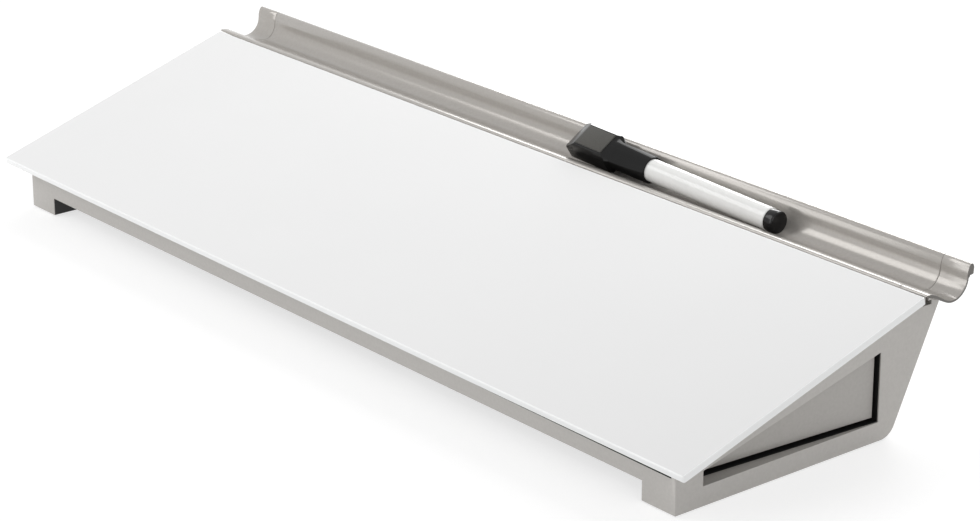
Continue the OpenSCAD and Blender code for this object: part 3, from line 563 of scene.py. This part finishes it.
def tray_piece(name, cuts, node):
    """A cut is (x, sink, thin): the inner skin sinks by sink mm, the outer comes in by a share thin."""
    wall = outer - inner
    width = np.maximum(np.linalg.norm(wall, axis=1, keepdims=True), LEAST_WALL)
    n, around = len(inner), 2 * len(inner)
    share = np.where(np.arange(n) < n - ROLL_STEPS - WALL_STEPS, 1.0, BEAD_SHARE)[:, None]
    rows = []
    for x, sink, thin in cuts:
        loop = np.concatenate([inner + wall / width * sink, (outer - wall * thin * share)[::-1]])
        rows.append(np.column_stack([np.full(len(loop), x), loop]))
    i = np.arange(n - 1)
    lid = np.stack([i, i + 1, around - 2 - i, around - 1 - i], -1)
    sides = grid_faces(len(rows), around, closed=True)
    faces = np.concatenate([sides, lid[:, ::-1], lid + (len(rows) - 1) * around])
    pick = np.concatenate([np.zeros(len(sides), int), np.ones(2 * len(lid), int)])
    return make_piece(name, placed(np.concatenate(rows)), faces, [tray_plastic, cut_lacquer], pick,
                      node, "easel", crease=35)


print("a cut has", 2 * len(inner), "points")

# %% The tray and its two ends
SEAM_X, SEAM_GAP, TRAY_HALF = 215.5, 0.1, 229.2  # the seam, its width and the tray's end, mm
ROUND, SINK, THIN = 0.25, 0.2, 0.1  # a moulded rim beside each seam: its length, drop and share
trough_cuts = [(-SEAM_X, SINK, THIN), (-SEAM_X + ROUND, 0, 0), (SEAM_X - ROUND, 0, 0), (SEAM_X, SINK, THIN)]
tray_piece("tray_trough", trough_cuts, "pen_tray")
end_cuts = [(SEAM_X + SEAM_GAP, SINK, THIN), (SEAM_X + SEAM_GAP + ROUND, 0, 0),
            (222.0, 0, 0.2), (228.6, 0, 0.4), (TRAY_HALF, 0.12, 0.45)]  # the wall thins to its end
for side, node in ((-1, "tray_end_left"), (1, "tray_end_right")):
    tray_piece(node + "_shell", [(x * side, sink, thin) for x, sink, thin in end_cuts], node)
print("tray and its two ends")

# %% [markdown]
# ## Rounded edges
# No moulded edge is sharp: the tool leaves a radius of a few tenths of a millimetre, and
# that radius is what shows as a thin bright line. A merged copy of the CAD node, its flat
# faces joined again, is bevelled along its long sharp edges only, because the short edges
# of the small holes have no room for a bevel.

# %% A copy of a node with its long edges rounded
FLAT_DEG, SHARP_DEG, CREASE_DEG = 0.4, 20, 28  # joined below, rounded above, and shaded sharp above
CLOSE = 1e-6  # points of the CAD mesh closer than this, in metres, are one


def soften(node, name, body, radius, shortest=2.0, keep=None):
    """Bevels edges longer than shortest mm and turned more than SHARP_DEG, by radius mm."""
    shell = bmesh.new()
    shell.from_mesh(nodes[node].data)
    bmesh.ops.remove_doubles(shell, verts=shell.verts, dist=CLOSE)
    bmesh.ops.dissolve_limit(shell, angle_limit=math.radians(FLAT_DEG), verts=shell.verts, edges=shell.edges)
    sharp = [e for e in shell.edges if len(e.link_faces) == 2 and e.calc_length() > shortest * MM
             and e.calc_face_angle(0) > math.radians(SHARP_DEG) and (keep is None or keep(e))]
    bmesh.ops.bevel(shell, geom=sharp, offset=radius * MM, segments=3, profile=0.5,
                    affect="EDGES", clamp_overlap=True)
    mesh = bpy.data.meshes.new(name)
    shell.to_mesh(mesh)
    shell.free()
    mesh.materials.append(nodes[node].data.materials[0])
    mesh.polygons.foreach_set("use_smooth", np.ones(len(mesh.polygons), bool))
    mesh.set_sharp_from_angle(angle=math.radians(CREASE_DEG))
    piece = dress(bpy.data.objects.new(name, mesh), node, body)
    print(name, "with", len(sharp), "edges rounded")
    return piece


# %% The base's outer edges, the drawer front and the marker's mouldings
SKIN = 0.02  # an edge this close to a face of the base, in mm, lies on it


def on_outer_wall(edge):
    """True where both ends lie on the right wall, the left wall or the front of the base."""
    ends = [v.co for v in edge.verts]
    return (all(abs(c.x) > (BASE_HALF - SKIN) * MM for c in ends)
            or all(c.y < at_y(FRONT_Y + SKIN) for c in ends))


soften("base_housing", "base_shell", "easel", radius=0.35, shortest=3.0, keep=on_outer_wall)
panel = soften("drawer_front", "drawer_panel", "drawer", radius=0.3, shortest=3.0)
panel.data.materials[0] = drawer_plastic
soften("marker_cap", "cap_moulding", "cap", radius=0.3)
soften("marker_end_plug", "end_plug_moulding", "marker", radius=0.6, shortest=0.3)
soften("eraser_pad", "felt_pad", "cap", radius=0.35)

# %% [markdown]
# ## Floor, light and camera
# The easel stands on a plain white floor in a white room. The camera, and what the
# glass reflects, sees the floor as white; the floor still takes the easel's shadow. The
# lamps are large and soft, because small ones would show as spots in the glass and the
# tray. Each lights one side, and their powers are low enough that the glass isn't clipped.


# %% Which rays see the white
def any_of(t, kinds):
    """1 for rays of the named kinds, else 0: the largest of their flags on Light Path."""
    rays = add(t, "ShaderNodeLightPath")
    flag = rays.outputs[kinds[0]]
    for kind in kinds[1:]:
        flag = add(t, "ShaderNodeMath", {0: flag, 1: rays.outputs[kind]}, operation="MAXIMUM").outputs[0]
    return flag


print("the object itself is lit by the other rays")

# %% The white floor
FLOOR_HALF, FLOOR_GREY, FLOOR_MIX, FLOOR_GLOW = 8.0, 0.8, 0.5, 0.2
mesh = bpy.data.meshes.new("studio_floor")
corners = [(-FLOOR_HALF, -FLOOR_HALF, 0), (FLOOR_HALF, -FLOOR_HALF, 0),
           (FLOOR_HALF, FLOOR_HALF, 0), (-FLOOR_HALF, FLOOR_HALF, 0)]
mesh.from_pydata(corners, [], [(0, 1, 2, 3)])
floor = bpy.data.objects.new("studio_floor", mesh)
bpy.context.scene.collection.objects.link(floor)
paper = bpy.data.materials.new("white_studio_paper")
paper.use_nodes = True
t = paper.node_tree
t.nodes.clear()
seen = any_of(t, ["Is Camera Ray", "Is Glossy Ray", "Is Transmission Ray"])
matt = add(t, "ShaderNodeBsdfDiffuse", {"Color": (FLOOR_GREY, FLOOR_GREY, FLOOR_GREY, 1)})
lift = add(t, "ShaderNodeEmission", {"Color": (1, 1, 1, 1), "Strength": seen})
half = add(t, "ShaderNodeMixShader", {"Fac": FLOOR_MIX, 1: matt.outputs[0], 2: lift.outputs[0]})
glow = add(t, "ShaderNodeEmission", {"Color": (1, 1, 1, 1), "Strength": FLOOR_GLOW})
white = add(t, "ShaderNodeAddShader", {0: half.outputs[0], 1: glow.outputs[0]})
surface = add(t, "ShaderNodeMixShader", {"Fac": seen, 1: matt.outputs[0], 2: white.outputs[0]})
add(t, "ShaderNodeOutputMaterial", {"Surface": surface.outputs[0]})
mesh.materials.append(paper)
print("floor", FLOOR_HALF * 2, "m across")

# %% The white room
ROOM_LIGHT, ROOM_WHITE = 0.42, 1.0  # on the object, and as the camera and the glass see it
world = bpy.data.worlds.new("white_room")
bpy.context.scene.world = world
world.use_nodes = True
t = world.node_tree
t.nodes.clear()
seen = any_of(t, ["Is Camera Ray", "Is Glossy Ray"])
level = add(t, "ShaderNodeMapRange", {"Value": seen, "To Min": ROOM_LIGHT, "To Max": ROOM_WHITE})
sky = add(t, "ShaderNodeBackground", {"Color": (1, 1, 1, 1), "Strength": level.outputs["Result"]})
add(t, "ShaderNodeOutputWorld", {"Surface": sky.outputs[0]})
print("room light", ROOM_LIGHT, "on the object,", ROOM_WHITE, "for the camera")


# %% The lamps
def softbox(name, place, target, size, power):
    """A square lamp at place, turned to target; size in metres, power in watts."""
    light = bpy.data.lights.new(name, "AREA")
    light.shape = "SQUARE"
    light.size = size
    light.energy = power
    o = bpy.data.objects.new(name, light)
    bpy.context.scene.collection.objects.link(o)
    o.location = place
    o.rotation_euler = (Vector(target) - Vector(place)).to_track_quat("-Z", "Y").to_euler()
    return o


lamps = [
    softbox("left_softbox", (-0.75, -0.77, 0.92), (0, 0, 0), 0.7, 4.5),
    softbox("rear_softbox", (-0.9, 1.2, 0.5), (0, 0.05, 0), 0.7, 8),
    softbox("top_softbox", (0.0, 0.42, 0.45), (0, 0, 0.03), 0.35, 1.6),
    softbox("front_softbox", (-0.5, -1.5, 0.4), (0, 0, 0), 0.9, 5.5),
    softbox("side_softbox", (1.6, -0.4, 0.6), (0, 0, 0), 0.9, 4.2),
]
print([lamp.name for lamp in lamps])

# %% The camera of the photograph
SENSOR, PHOTO_W, FOCAL_PX = 36, 980, 3076.8  # sensor in mm; photo width and focal length in pixels
camera = bpy.data.cameras.new("photo_camera")
camera.sensor_width = SENSOR
camera.lens = FOCAL_PX * SENSOR / PHOTO_W
camera.clip_start = 0.05
camera.clip_end = 40
eye = bpy.data.objects.new("photo_camera", camera)
bpy.context.scene.collection.objects.link(eye)
eye.location = (0.94951, -0.75902, 0.47673)
eye.rotation_euler = Euler((math.radians(69.41), 0, math.radians(50.40)))
bpy.context.scene.camera = eye
bpy.context.scene.view_settings.view_transform = "Standard"
print("lens", round(camera.lens, 2), "mm")
